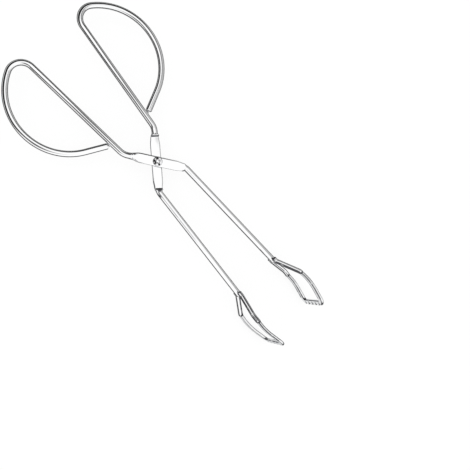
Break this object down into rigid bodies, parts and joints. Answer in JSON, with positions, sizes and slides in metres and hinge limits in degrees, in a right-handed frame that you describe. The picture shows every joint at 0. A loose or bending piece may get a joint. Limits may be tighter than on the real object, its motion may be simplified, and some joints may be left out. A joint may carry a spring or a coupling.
{
  "type": "barbecue tongs",
  "caption": "Scissor-type barbecue tongs of bright steel wire: two crossed arms on a rivet, looped handles, toothed U-shaped claws.",
  "frame": {"origin": "under the middle of the outline of the half-open tongs, at the height of the claws' lower edges", "axes": "+Z along the rivet towards its clinched rim, +Y towards the handles, +X towards the front arm's claw"},
  "size_m": [0.1224, 0.2774, 0.037],
  "materials": {
    "arm_wire": "bright chrome plate on drawn steel wire",
    "claw_wire": "bright chrome plate on pressed steel wire",
    "rivet_steel": "polished, slightly worn at the clinched rim"
  },
  "bodies": {
    "back_half": {"back_arm": "arm_wire", "back_claw": "claw_wire", "pivot_rivet": "rivet_steel"},
    "front_half": {"front_arm": "arm_wire", "front_claw": "claw_wire"}
  },
  "joints": [
    {"name": "arm_pivot", "type": "hinge", "parent": "back_half", "child": "front_half", "pos_m": [0, 0.02256, 0.0185], "axis": [0, 0, 1], "range_deg": [-14.2, 85]}
  ]
}
